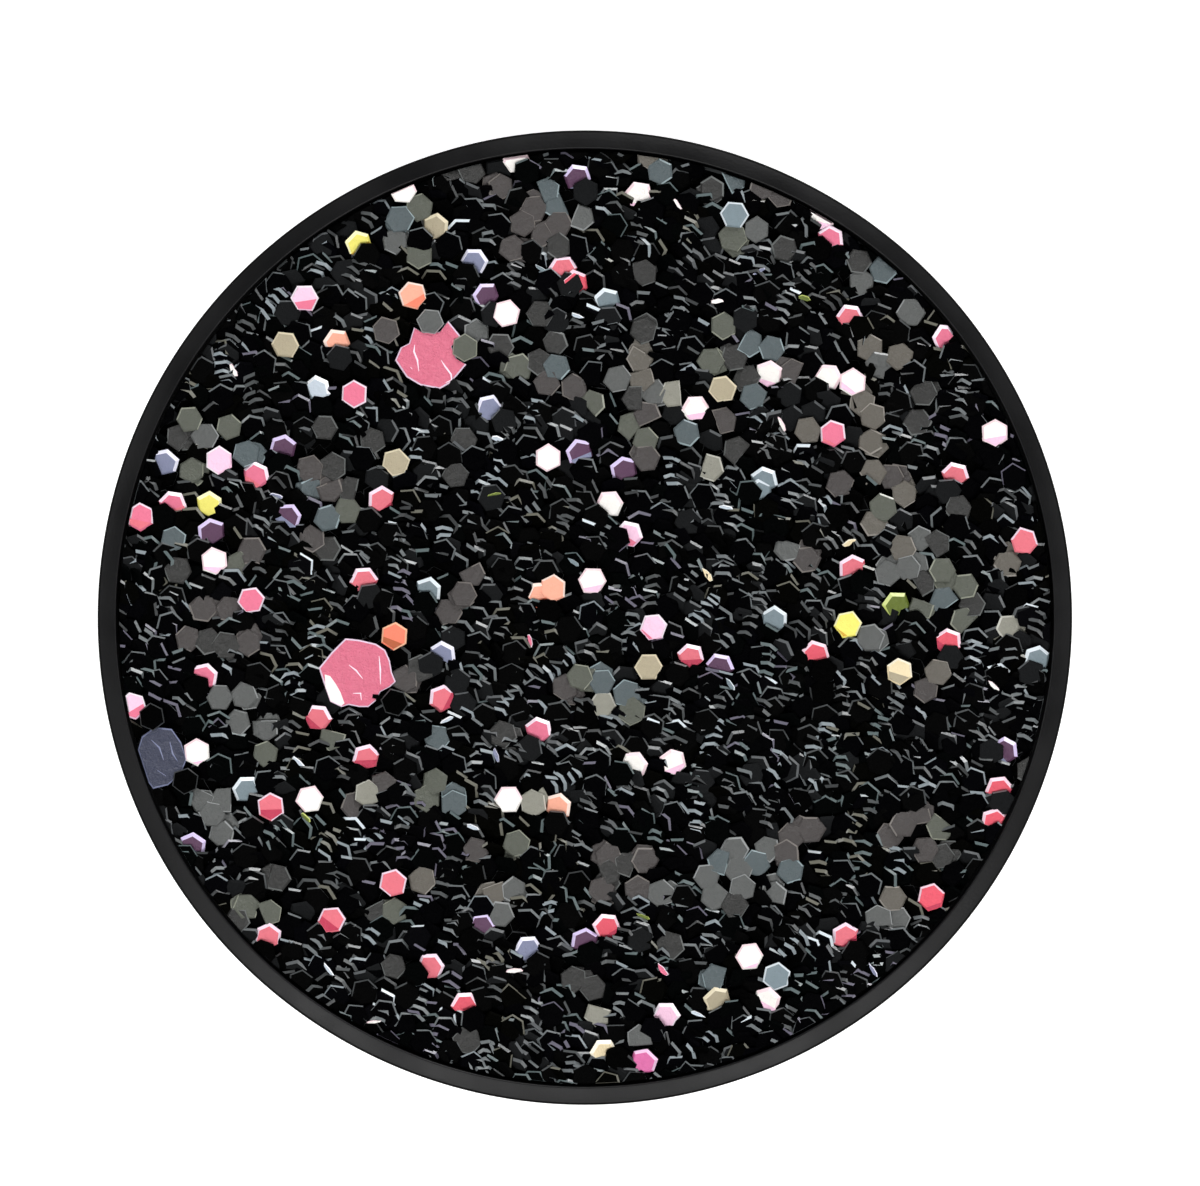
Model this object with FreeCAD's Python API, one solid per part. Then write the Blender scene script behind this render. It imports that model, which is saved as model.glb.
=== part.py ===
"""Collapsible stick-on phone grip with a swappable glitter top, drawn open.

The grip stands on its adhesive face, with its axis along +Z and its origin at the centre of that face.
Every piece that travels is drawn where it lies with the grip folded flat, and is then lifted by the travel
of the bellows stages under it. Only the two flexible webs are drawn straight in their open shape.
All sizes are in millimetres.
"""

import FreeCAD
import Part

import math
import os

# Outline of the grip
GRIP_R = 19.85  # radius of the base plate and of the top
STAGE_TRAVEL = 8.0  # fold of each of the two bellows stages
MIDDLE_LIFT = STAGE_TRAVEL  # how far the middle wall stands above its folded place
HEAD_LIFT = 2 * STAGE_TRAVEL  # how far the head and the top stand above theirs

# Rounding of edges
SMALL_EDGE = 0.12
MOULDED_EDGE = 0.2

# Adhesive pad
PAD_R = 18.6
PAD_TOP = 0.9

# Base plate: a dish with a pocket for the bellows' foot and a bore for the retaining ring
BASE_TOP = 3.1
BASE_LOW_EDGE = 0.35
BASE_HIGH_EDGE = 0.55
FLOOR_Z = 1.4
POCKET_R = 14.5
LEDGE_Z = 2.2
BORE_R = 15.0

# Retaining ring, which snaps over the bellows' foot and leaves it free to turn
RING_R = 13.95
RING_TOP = 3.05
BEAD_LOW = 2.45
BEAD_HIGH = 2.75
BEAD_DEPTH = 0.15

# Bellows: three stiff walls, one inside the other when folded, joined by two thin webs
WALL_T = 1.0
WEB_T = 0.5
FOOT_R = 14.4
FOOT_LOW = 1.45
FOOT_TOP = 2.15
LOWER_WALL = {"low_r": 13.8, "high_r": 13.1, "low": FOOT_LOW, "high": 4.8}
MIDDLE_WALL = {"low_r": 11.7, "high_r": 11.1, "low": 1.65, "high": 4.8}
UPPER_WALL = {"low_r": 9.7, "high_r": 9.2, "low": 1.7, "high": 4.8}

# Flange in the head of the bellows, gripped by the lock socket
FLANGE_LOW = 3.6
FLANGE_HIGH = 4.3
FLANGE_OUT_R = 8.6

# Lock socket: a bayonet seat, with a slotted shelf over an undercut
SOCKET_R = 6.8
SOCKET_LOW = 1.8
SOCKET_TOP = 4.8
SOCKET_LIP_R = 8.0
SOCKET_CLIP_R = 7.5
SOCKET_CLIP_LOW = 3.2
SOCKET_FLOOR_TOP = 2.2
SOCKET_DRAIN_R = 3.0
SHELF_LOW = 4.0
SHELF_BORE_R = 3.9
UNDERCUT_R = 5.9
SLOT_R = 5.6
SLOT_W = 3.0
STOP_R = 4.6  # inner radius of the stops that end the quarter turn
STOP_SPAN = 12.0  # degrees round the axis
STOPS = (18.0, 60.0)  # degrees to each stop's first side, repeated half a turn on

# Bayonet hub under the top
HUB_R = 3.7
HUB_BORE_R = 2.3
HUB_LOW = 2.5
LUG_R = 5.4
LUG_W = 2.6
LUG_LOW = 2.6
LUG_TOP = 3.9
CORE_GAP = 0.1  # how far each moulding window in the web stands clear of the lug under it

# Top platform: a web inside a skirt, with a sloping rim round the recess for the glitter insert
SKIRT_LOW = 3.4
SKIRT_IN_R = 18.65
SKIRT_EDGE = 0.45
WEB_LOW = 5.0
RECESS_Z = 5.64
RECESS_R = 19.1
RIM_TOP = 6.6
RIM_DROP = 0.27  # how much lower the rim's outer edge is than its inner lip
RIM_EDGE = 0.12
LIP_EDGE = 0.06
INNER_RIB_R = 16.2
INNER_RIB_T = 0.8
INNER_RIB_LOW = 3.6
SPOKES = 24
SPOKE_W = 0.7
SPOKE_LOW = 3.9

# Glitter insert: bond film, backing sheet and the bed of flakes, from the recess floor up
INSERT_R = 18.99
FILM_TOP = 5.70
BACKING_TOP = 5.90
GLITTER_TOP = 6.52

OVERLAP = 0.1  # how far fused features run into each other


def corner(before, here, after, radius):
    """The two tangent points and the mid point of an arc that rounds the corner at `here`."""
    p, a, b = (FreeCAD.Vector(q[0], 0, q[1]) for q in (here, before, after))
    to_a = (a - p).normalize()
    to_b = (b - p).normalize()
    half = to_a.getAngle(to_b) / 2
    reach = radius / math.tan(half)
    centre = p + (to_a + to_b).normalize() * (radius / math.sin(half))
    middle = centre + (p - centre).normalize() * radius
    return p + to_a * reach, middle, p + to_b * reach


def turned(outline):
    """A solid of revolution about Z from (r, z) or (r, z, edge radius) points."""
    edges = []
    ends = []
    count = len(outline)
    for i, point in enumerate(outline):
        if len(point) == 3:
            start, middle, end = corner(outline[i - 1], point, outline[(i + 1) % count], point[2])
            edges.append(Part.Arc(start, middle, end).toShape())
        else:
            start = end = FreeCAD.Vector(point[0], 0, point[1])
            edges.append(None)
        ends.append((start, end))
    closed = []
    for i in range(count):
        if edges[i] is not None:
            closed.append(edges[i])
        closed.append(Part.makeLine(ends[i][1], ends[(i + 1) % count][0]))
    face = Part.Face(Part.Wire(closed))
    return face.revolve(FreeCAD.Vector(0, 0, 0), FreeCAD.Vector(0, 0, 1), 360)


def disc(radius, low, high, edge=None):
    """A plain disc, with its top and bottom edges rounded if `edge` is given."""
    if edge is None:
        return turned([(0, low), (radius, low), (radius, high), (0, high)])
    return turned([(0, low), (radius, low, edge), (radius, high, edge), (0, high)])


def box(x, y, low, high):
    """A box on the axis, x by y."""
    return Part.makeBox(x, y, high - low, FreeCAD.Vector(-x / 2, -y / 2, low))


def around(shape, degrees):
    """A copy of the shape turned about Z."""
    copy = shape.copy()
    copy.rotate(FreeCAD.Vector(0, 0, 0), FreeCAD.Vector(0, 0, 1), degrees)
    return copy


def lifted(shape, height):
    """The shape moved up by `height`."""
    shape.translate(FreeCAD.Vector(0, 0, height))
    return shape


def wall(size):
    """A stiff bellows wall: a steep cone of even thickness, with rounded ends."""
    return turned(
        [
            (size["low_r"] - WALL_T, size["low"], MOULDED_EDGE),
            (size["low_r"], size["low"], MOULDED_EDGE),
            (size["high_r"], size["high"], MOULDED_EDGE),
            (size["high_r"] - WALL_T, size["high"], MOULDED_EDGE),
        ]
    )


def web(below, below_lift, above, above_lift):
    """A flexible web from the head of one wall to the foot of the next one in."""
    foot_r = below["high_r"] - WALL_T / 2
    head_r = above["low_r"] - WALL_T / 2
    foot_z = below["high"] + below_lift
    head_z = above["low"] + above_lift
    return turned(
        [
            (foot_r - WEB_T / 2, foot_z),
            (foot_r + WEB_T / 2, foot_z),
            (head_r + WEB_T / 2, head_z),
            (head_r - WEB_T / 2, head_z),
        ]
    )


def bead():
    """Outline of the snap bead, shared by the retaining ring and its groove."""
    middle = (BEAD_LOW + BEAD_HIGH) / 2
    return [(BORE_R, BEAD_LOW), (BORE_R + BEAD_DEPTH, middle), (BORE_R, BEAD_HIGH)]


def base_plate():
    return turned(
        [
            (0, PAD_TOP),
            (GRIP_R, PAD_TOP, BASE_LOW_EDGE),
            (GRIP_R, BASE_TOP, BASE_HIGH_EDGE),
            (BORE_R, BASE_TOP),
            *reversed(bead()),
            (BORE_R, LEDGE_Z),
            (POCKET_R, LEDGE_Z),
            (POCKET_R, FLOOR_Z),
            (0, FLOOR_Z),
        ]
    )


def retaining_ring():
    return turned(
        [
            (RING_R, LEDGE_Z),
            (BORE_R, LEDGE_Z),
            *bead(),
            (BORE_R, RING_TOP),
            (RING_R, RING_TOP, MOULDED_EDGE),
        ]
    )


def lower_wall():
    """The lowest wall, standing on the foot that turns under the retaining ring."""
    foot = turned(
        [
            (LOWER_WALL["low_r"] - WALL_T / 2, FOOT_LOW),
            (FOOT_R, FOOT_LOW, SMALL_EDGE),
            (FOOT_R, FOOT_TOP, SMALL_EDGE),
            (LOWER_WALL["low_r"] - WALL_T / 2, FOOT_TOP),
        ]
    )
    return wall(LOWER_WALL).fuse(foot).removeSplitter()


def upper_wall():
    """The smallest wall, with the flange that holds the lock socket."""
    flange = turned(
        [
            (SOCKET_R, FLANGE_LOW),
            (FLANGE_OUT_R, FLANGE_LOW),
            (FLANGE_OUT_R, FLANGE_HIGH),
            (SOCKET_R, FLANGE_HIGH),
        ]
    )
    return wall(UPPER_WALL).fuse(flange).removeSplitter()


def stop(first_side):
    """A wedge in the undercut that ends the bayonet's quarter turn."""
    height = SHELF_LOW - SOCKET_FLOOR_TOP + 2 * OVERLAP
    low = FreeCAD.Vector(0, 0, SOCKET_FLOOR_TOP - OVERLAP)
    up = FreeCAD.Vector(0, 0, 1)
    outer = Part.makeCylinder(UNDERCUT_R + OVERLAP, height, low, up, STOP_SPAN)
    inner = Part.makeCylinder(STOP_R, height, low, up, STOP_SPAN)
    return around(outer.cut(inner), first_side)


def lock_socket():
    body = turned(
        [
            (SOCKET_DRAIN_R, SOCKET_LOW),
            (SOCKET_R, SOCKET_LOW, MOULDED_EDGE),
            (SOCKET_R, SOCKET_CLIP_LOW),
            (SOCKET_CLIP_R, SOCKET_CLIP_LOW, MOULDED_EDGE),
            (SOCKET_CLIP_R, FLANGE_LOW),
            (SOCKET_R, FLANGE_LOW),
            (SOCKET_R, FLANGE_HIGH),
            (SOCKET_LIP_R, FLANGE_HIGH),
            (SOCKET_LIP_R, SOCKET_TOP, MOULDED_EDGE),
            (SHELF_BORE_R, SOCKET_TOP, MOULDED_EDGE),
            (SHELF_BORE_R, SHELF_LOW),
            (UNDERCUT_R, SHELF_LOW),
            (UNDERCUT_R, SOCKET_FLOOR_TOP),
            (SOCKET_DRAIN_R, SOCKET_FLOOR_TOP),
        ]
    )
    for first_side in STOPS:
        for half_turn in (0, 180):
            body = body.fuse(stop(first_side + half_turn))
    slot_top = SOCKET_TOP + OVERLAP
    slot = box(2 * GRIP_R, SLOT_W, SHELF_LOW, slot_top).common(disc(SLOT_R, SHELF_LOW, slot_top))
    return body.cut(slot).removeSplitter()


def top_platform():
    body = turned(
        [
            (0, WEB_LOW),
            (INNER_RIB_R, WEB_LOW),
            (INNER_RIB_R, INNER_RIB_LOW, SMALL_EDGE),
            (INNER_RIB_R + INNER_RIB_T, INNER_RIB_LOW, SMALL_EDGE),
            (INNER_RIB_R + INNER_RIB_T, WEB_LOW),
            (SKIRT_IN_R, WEB_LOW),
            (SKIRT_IN_R, SKIRT_LOW, SMALL_EDGE),
            (GRIP_R, SKIRT_LOW, SKIRT_EDGE),
            (GRIP_R, RIM_TOP - RIM_DROP, RIM_EDGE),
            (RECESS_R, RIM_TOP, LIP_EDGE),
            (RECESS_R, RECESS_Z),
            (0, RECESS_Z),
        ]
    )
    spoke_in = INNER_RIB_R + INNER_RIB_T - OVERLAP
    spoke_out = SKIRT_IN_R + OVERLAP
    spoke_height = WEB_LOW + OVERLAP - SPOKE_LOW
    corner_point = FreeCAD.Vector(spoke_in, -SPOKE_W / 2, SPOKE_LOW)
    spoke = Part.makeBox(spoke_out - spoke_in, SPOKE_W, spoke_height, corner_point)
    body = body.multiFuse([around(spoke, i * 360 / SPOKES) for i in range(SPOKES)])
    hub = disc(HUB_R, HUB_LOW, WEB_LOW + OVERLAP)
    lugs = box(LUG_W, 2 * GRIP_R, LUG_LOW, LUG_TOP).common(disc(LUG_R, LUG_LOW, LUG_TOP))
    body = body.fuse(hub.fuse(lugs))
    hollow = disc(HUB_BORE_R, HUB_LOW - OVERLAP, WEB_LOW)
    windows = box(LUG_W + 2 * CORE_GAP, 2 * (LUG_R + CORE_GAP), WEB_LOW - OVERLAP, RECESS_Z + OVERLAP)
    windows = windows.cut(disc(HUB_R, WEB_LOW - 2 * OVERLAP, RECESS_Z + 2 * OVERLAP))
    return body.cut(hollow).cut(windows).removeSplitter()


NODES = {
    "adhesive_pad": disc(PAD_R, 0, PAD_TOP, SMALL_EDGE),
    "base_plate": base_plate(),
    "retaining_ring": retaining_ring(),
    "bellows_lower_wall": lower_wall(),
    "bellows_lower_web": web(LOWER_WALL, 0, MIDDLE_WALL, MIDDLE_LIFT),
    "bellows_middle_wall": lifted(wall(MIDDLE_WALL), MIDDLE_LIFT),
    "bellows_upper_web": web(MIDDLE_WALL, MIDDLE_LIFT, UPPER_WALL, HEAD_LIFT),
    "bellows_upper_wall": lifted(upper_wall(), HEAD_LIFT),
    "lock_socket": lifted(lock_socket(), HEAD_LIFT),
    "top_platform": lifted(top_platform(), HEAD_LIFT),
    "insert_bond_film": lifted(disc(INSERT_R, RECESS_Z, FILM_TOP), HEAD_LIFT),
    "glitter_backing": lifted(disc(INSERT_R, FILM_TOP, BACKING_TOP), HEAD_LIFT),
    "glitter_layer": lifted(disc(INSERT_R, BACKING_TOP, GLITTER_TOP, SMALL_EDGE), HEAD_LIFT),
}

os.makedirs("parts", exist_ok=True)
for name, shape in NODES.items():
    shape.exportStep(os.path.join("parts", name + ".step"))
    print(name, "valid", shape.isValid(), "solids", len(shape.Solids), "volume", round(shape.Volume, 2))
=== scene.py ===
import math
import random

import bpy
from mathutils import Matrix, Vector, noise


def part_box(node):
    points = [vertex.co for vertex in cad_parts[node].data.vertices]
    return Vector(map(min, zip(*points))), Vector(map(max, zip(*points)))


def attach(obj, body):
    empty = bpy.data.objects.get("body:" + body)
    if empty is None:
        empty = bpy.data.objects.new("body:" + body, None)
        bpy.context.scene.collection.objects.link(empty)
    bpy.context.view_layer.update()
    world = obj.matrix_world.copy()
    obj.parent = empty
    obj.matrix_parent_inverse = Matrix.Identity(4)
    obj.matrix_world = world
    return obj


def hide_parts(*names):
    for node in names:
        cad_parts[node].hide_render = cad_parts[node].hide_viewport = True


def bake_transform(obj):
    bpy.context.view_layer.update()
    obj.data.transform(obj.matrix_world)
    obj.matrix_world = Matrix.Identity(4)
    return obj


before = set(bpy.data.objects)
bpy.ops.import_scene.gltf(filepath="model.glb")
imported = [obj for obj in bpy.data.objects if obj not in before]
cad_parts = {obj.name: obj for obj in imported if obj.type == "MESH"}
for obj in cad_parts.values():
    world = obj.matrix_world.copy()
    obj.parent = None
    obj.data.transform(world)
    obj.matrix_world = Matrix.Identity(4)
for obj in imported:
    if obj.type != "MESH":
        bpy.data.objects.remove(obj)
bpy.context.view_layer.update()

# Looks for a collapsible phone grip with a glitter top, standing open on its adhesive face.
# Angles are in degrees.

MM = 0.001


def low(node):
    """The height of a CAD node's underside."""
    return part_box(node)[0].z / MM


def high(node):
    """The height of a CAD node's top."""
    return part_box(node)[1].z / MM


def reach(node):
    """The outer radius of a round CAD node."""
    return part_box(node)[1].x / MM


# --- Places taken from the frame ---

GRIP_R = reach("top_platform")
TOP_Z = high("top_platform")
BED_Z = low("glitter_layer")
FLAKE_TOP_Z = high("glitter_layer")
INSERT_R = reach("glitter_layer")
RECESS_FLOOR_Z = low("insert_bond_film")

# --- The flake bed ---

SEED = 20
FLAKE_ACROSS = 1.0  # across the flats
FLAKE_CORNER_R = FLAKE_ACROSS / math.sqrt(3)
CUT_R = INSERT_R - 0.02  # the die's cut, which slices the outermost flakes
UPWARD = 90.0  # azimuth that the bright flakes lift towards
STREAK_LIFT = 68.0  # azimuth that the black flakes lift towards, on average

# Face colour of each kind of flake, and the pale colour of its edges, a painted highlight of light along them
FLAKE_TONES = {
    "soot": ("020202", "383a3b"),
    "coal": ("1b1c1d", "56595b"),
    "ash": ("050505", "484b4c"),
    "jet": ("020203", "666b6d"),
    "ink": ("030305", "848d92"),
    "frost": ("060608", "d2dbe1"),
    "night": ("030304", "64616f"),
    "petrol": ("020303", "596566"),
    "moss": ("030302", "66655b"),
    "graphite": ("30302f", "666968"),
    "umber": ("454140", "77726e"),
    "warm_grey": ("605c55", "96918a"),
    "neutral_grey": ("585a59", "8f9292"),
    "olive_grey": ("565950", "8f9284"),
    "slate": ("525c5f", "93a3a7"),
    "pale_grey": ("8b8a7f", "bdbcb2"),
    "foil": ("e06f8a", "ecd3e8"),
    "dark_foil": ("383c50", "7c82a0"),
    "pink": ("e97794", "fde6f4"),
    "coral": ("e77482", "fbe0f0"),
    "red": ("e85a6c", "fbd8e6"),
    "light_pink": ("fbcde6", "fff2fb"),
    "peach": ("fab096", "ffe6da"),
    "orange": ("f7866a", "ffc4a0"),
    "magenta": ("e070aa", "f8cdec"),
    "plum": ("5c3d58", "d9c9ef"),
    "lavender": ("858aa6", "ecebfb"),
    "white": ("fffbf6", "ffe4ea"),
    "cream": ("f0deb6", "fff6e0"),
    "tan": ("aea38a", "ded3b6"),
    "yellow": ("f6ec74", "fffbc4"),
    "green": ("66742f", "c3cf74"),
    "ice": ("cbd6e1", "f8fbff"),
    "steel": ("7b8a91", "dfe8ee"),
    "crimson": ("c23d58", "f0b6c8"),
    "gold": ("dcae40", "ffe9a8"),
    "rust": ("b8603e", "ffc4a0"),
}
FOILS = ["foil", "dark_foil"]
# The tone painted along the lower side of a bright flake, the side turned from the light: painted shade,
# mostly darker
SHADE_TONES = {
    "light_pink": "pink", "pink": "coral", "coral": "crimson", "red": "crimson", "peach": "orange",
    "orange": "rust", "yellow": "gold", "cream": "tan", "white": "light_pink", "plum": "lavender",
    "ice": "steel",
}
DARKS = ["soot", "coal", "ash", "jet", "ink", "frost", "night", "petrol", "moss"]
# The grey tones' faces are a painted reflection: flat-lying black foil shown lit by the light it reflects
REFLECTION_GREYS = ["graphite", "umber", "warm_grey", "neutral_grey", "olive_grey", "slate", "pale_grey"]

# Gloss of each kind of face, and the size and depth of its crumples
FOIL_FINISH = {"specular": 0.45, "roughness": 0.33, "crumple": 0.35, "depth": 0.3}
REFLECTION_GREY_FINISH = {"specular": 0.35, "roughness": 0.38, "crumple": 0.28, "depth": 0.12}
DARK_FINISH = {"specular": 0.008, "roughness": 0.4, "crumple": 0.25, "depth": 0.1}
BRIGHT_FINISH = {"specular": 0.25, "roughness": 0.4, "crumple": 0.25, "depth": 0.1}

# Bright flakes that lie flat and whole on the bed
WHOLE_ACCENTS = {
    "light_pink": [(-11.4, 13.0), (2.8, -0.4), (-14.9, 6.4), (-18.4, -3.6)],
    "pink": [(-9.4, 9.1), (10.1, 7.5), (-13.6, 0.7), (-18.1, 4.1)],
    "peach": [(-7.0, 13.1), (-1.3, 1.2)],
    "orange": [(-7.75, -0.75)],
    "coral": [(-7.8, -10.8), (-12.8, -7.7), (17.9, 3.1), (-10.3, -12.3)],
    "red": [(14.1, -11.4)],
    "white": [
        (-3.2, 12.4), (-1.5, 6.5), (-15.1, 2.3), (0.3, 1.5), (10.9, 9.6), (16.7, 7.5), (-15.8, -5.5),
        (-11.2, -7.4), (-3.1, -7.4), (6.7, -13.8), (-7.4, 17.4),
    ],
    "cream": [(12.8, -2.2)],
    "tan": [(-12.2, 11.1), (5.6, 9.3), (2.6, -2.0), (-7.7, 6.3)],
    "yellow": [(10.7, -0.3)],
    "steel": [(6.1, 16.4), (7.8, -14.6)],
}
# Bright flakes that are tucked under a darker one along their lower side
TUCKED_ACCENTS = {
    "pink": [(-13.4, 5.8), (-16.8, 4.6), (-15.5, -2.4), (-1.9, -4.6), (10.0, 15.4), (14.7, 11.4)],
    "light_pink": [(1.8, 3.4), (3.3, -16.2)],
    "peach": [(-10.1, 11.2), (-1.8, 0.9), (-1.1, -7.7)],
    "coral": [
        (-0.9, 14.2), (-8.3, 4.8), (-9.0, 1.5), (-5.8, -3.3), (-8.9, -5.7), (-10.9, -4.1), (-6.3, -14.2),
        (-12.9, -13.0), (4.3, -1.6), (10.8, 12.2), (15.1, 5.8), (10.9, 2.0), (10.6, -13.0),
    ],
    "red": [(-0.4, 13.6), (-4.9, -15.8), (9.4, -1.5), (14.8, -1.0), (16.7, -8.3), (16.9, -7.0), (0.9, -12.6)],
    "magenta": [(2.4, -18.1)],
    "white": [
        (7.5, 9.9), (9.9, 9.8), (4.5, 8.5), (7.4, -15.6), (-2.8, 18.6), (9.6, 16.3), (1.0, 4.6), (2.0, -6.0),
        (3.6, -5.9), (2.2, 17.2),
    ],
    "cream": [(0.8, -17.7)],
    "tan": [(5.4, -15.6), (-6.1, 15.9)],
    "yellow": [(-9.2, 15.2), (-15.3, 4.6)],
    "green": [(12.7, 0.5)],
    "plum": [
        (-12.1, 4.1), (-15.2, 3.5), (-4.0, 13.1), (-12.3, 6.9), (-0.2, 6.7), (1.6, 6.0), (0.0, -13.2),
        (-4.2, -12.6), (5.5, -2.0), (17.1, -5.4), (-16.0, -9.3), (-0.3, 17.9),
    ],
    "lavender": [(-4.5, 14.5), (-2.3, -13.5), (-5.8, -1.5), (-3.9, 8.5), (-17.1, 6.3)],
    "ice": [(-10.9, 9.3)],
    "steel": [(7.1, 5.1), (0.9, 12.9), (-6.4, 1.1), (7.7, -0.1), (-13.8, -7.0), (18.4, -1.7), (7.3, 5.6)],
}
# Patches where flakes lie flat and show grey, a painted reflection: x, y, radius and the tones that show
# there
REFLECTION_PATCHES = [
    (7.1, 16.4, 2.2, "slate"), (10.8, 14.4, 1.8, "slate"), (-1.8, 16.4, 2.0, "umber"),
    (6.3, 9.3, 2.6, "warm_grey"), (10.8, 8.9, 2.4, "warm_grey"), (2.7, 9.5, 1.9, "warm_grey"),
    (-1.6, 9.9, 1.8, "umber"), (-15.3, 7.2, 1.6, "olive_grey"), (-10.2, 5.2, 1.8, "slate"),
    (-10.4, 9.5, 1.3, "slate"), (12.4, 4.8, 1.6, "warm_grey"), (14.7, 1.1, 2.0, "olive_grey"),
    (12.8, 2.3, 1.6, "neutral_grey"), (8.8, 2.3, 1.2, "slate"), (1.0, -2.9, 1.3, "neutral_grey"),
    (-14.7, -0.9, 1.8, "umber"), (-13.4, -3.6, 1.6, "neutral_grey"), (-2.4, -8.4, 1.3, "warm_grey"),
    (-6.3, -7.4, 1.1, "olive_grey"), (-8.5, -7.4, 1.1, "umber"), (8.8, -9.5, 1.5, "umber"),
    (6.3, -10.3, 1.7, "neutral_grey"), (1.8, -10.9, 1.7, "umber"), (-7.5, -11.5, 1.5, "olive_grey"),
    (-3.7, -11.1, 1.1, "neutral_grey"), (13.6, -8.6, 1.6, "umber"), (12.2, -11.5, 1.7, "neutral_grey"),
    (7.5, -15.0, 1.2, "slate"), (5.3, -15.4, 1.1, "pale_grey"), (13.6, -2.5, 1.3, "warm_grey"),
    (-15.3, -8.0, 1.3, "neutral_grey"), (-13.0, -11.5, 1.6, "olive_grey"), (-4.7, 1.1, 1.1, "umber"),
    (5.9, 6.4, 1.0, "pale_grey"), (2.2, 7.2, 1.5, "olive_grey"), (-6.7, 16.2, 1.5, "olive_grey"),
    (18.1, -1.3, 1.5, "slate"), (17.3, 2.3, 1.1, "warm_grey"), (-4.7, 10.9, 1.5, "neutral_grey"),
    (-17.7, 3.2, 1.1, "slate"), (-0.6, -2.9, 1.1, "olive_grey"),
]

# The three large flakes, each with its creases drawn pale as painted highlights, any flat patch painted white
# as a highlight where a fold catches the light, and the small flakes that lie over its edge
LARGE_FLAKES = [
    {
        "centre": (-17.2, -5.6),
        "tone": "dark_foil",
        "crease_highlight_tone": "dark_foil",
        "outline": [
            (-0.84, 0.76), (-0.31, 1.15), (0.38, 1.07), (0.76, 0.53), (0.99, -0.15), (0.76, -0.76),
            (0.23, -1.22), (-0.38, -1.37), (-0.84, -0.76), (-1.07, 0.0),
        ],
        "creases": [
            [(-0.45, 0.62), (-0.12, 0.30), (0.05, -0.20)],
            [(0.30, 0.55), (0.42, 0.05), (0.62, -0.25)],
            [(-0.20, -0.62), (0.15, -0.85)],
        ],
        "glint_patch": None,
        "overlaps": [("soot", -0.45, 1.55), ("soot", 0.95, -1.05)],
    },
    {
        "centre": (-6.2, 10.7),
        "tone": "foil",
        "crease_highlight_tone": "pink",
        "outline": [
            (-1.53, -0.22), (-1.30, 0.30), (-0.96, 0.47), (-0.76, 1.12), (-0.39, 0.92), (0.30, 0.95),
            (0.64, 1.38), (1.15, 0.75), (0.78, 0.35), (0.98, -0.16), (1.38, -0.39), (0.75, -1.13),
            (0.30, -1.39), (-0.50, -1.24), (-1.07, -0.90),
        ],
        "creases": [
            [(-0.73, 0.41), (-0.76, 0.13), (-0.62, -0.22), (-0.56, -0.67)],
            [(0.35, -0.22), (0.53, -0.50), (0.75, -0.79), (0.78, -1.02), (0.53, -1.13)],
            [(-0.90, -0.50), (-0.83, -0.58)],
        ],
        "glint_patch": None,
        "overlaps": [("neutral_grey", -0.10, 1.35), ("olive_grey", 1.30, 0.28), ("umber", -1.9, 1.0)],
    },
    {
        "centre": (-9.3, -2.3),
        "tone": "foil",
        "crease_highlight_tone": "pink",
        "outline": [
            (-0.45, 1.46), (0.11, 1.40), (0.79, 1.24), (1.17, 0.99), (1.36, 0.56), (1.45, 0.06),
            (1.60, -0.31), (1.36, -0.53), (0.98, -0.72), (0.79, -1.09), (0.48, -1.34), (0.11, -1.34),
            (-0.33, -1.25), (-0.61, -1.34), (-1.07, -1.12), (-1.29, -0.50), (-1.54, 0.25), (-1.01, 0.90),
        ],
        "creases": [
            [(-0.30, 0.37), (-0.02, 0.15), (0.26, -0.19)],
            [(-0.14, -0.78), (0.17, -0.78), (0.20, -1.06)],
            [(0.92, 0.74), (0.97, 0.20), (0.98, -0.41)],
        ],
        "glint_patch": [
            (-1.30, 0.0), (-1.07, -0.07), (-0.83, -0.41), (-0.64, -0.75), (-0.48, -1.20), (-0.61, -1.30),
            (-1.05, -1.10), (-1.27, -0.50),
        ],
        "overlaps": [("soot", 1.55, -1.15)],
    },
]


# --- Materials ---


def linear(code):
    """A linear RGBA colour from six hexadecimal sRGB digits."""
    levels = [int(code[i : i + 2], 16) / 255 for i in (0, 2, 4)]
    return [(v / 12.92 if v <= 0.04045 else ((v + 0.055) / 1.055) ** 2.4) for v in levels] + [1.0]


def new_material(name):
    material = bpy.data.materials.new(name)
    material.use_nodes = True
    return material, material.node_tree, material.node_tree.nodes["Principled BSDF"]


def add_noise(tree, size, detail=3.0, rough=0.5):
    """A noise texture in the object's own space whose features are `size` millimetres across."""
    coords = tree.nodes.new("ShaderNodeTexCoord")
    texture = tree.nodes.new("ShaderNodeTexNoise")
    texture.inputs["Scale"].default_value = 1 / (size * MM)
    texture.inputs["Detail"].default_value = detail
    texture.inputs["Roughness"].default_value = rough
    tree.links.new(coords.outputs["Object"], texture.inputs["Vector"])
    return texture.outputs["Fac"]


def remap(tree, value, start, end, to_start, to_end):
    """A value between start and end stretched to lie between to_start and to_end."""
    node = tree.nodes.new("ShaderNodeMapRange")
    node.inputs["From Min"].default_value = start
    node.inputs["From Max"].default_value = end
    node.inputs["To Min"].default_value = to_start
    node.inputs["To Max"].default_value = to_end
    tree.links.new(value, node.inputs["Value"])
    return node.outputs["Result"]


def mix_colours(tree, factor, first, second):
    """A mix of two colours, each given as RGBA or as another node's output."""
    node = tree.nodes.new("ShaderNodeMix")
    node.data_type = "RGBA"
    tree.links.new(factor, node.inputs["Factor"])
    for name, colour in (("A", first), ("B", second)):
        if isinstance(colour, bpy.types.NodeSocket):
            tree.links.new(colour, node.inputs[name])
        else:
            node.inputs[name].default_value = colour
    return node.outputs["Result"]


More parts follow.
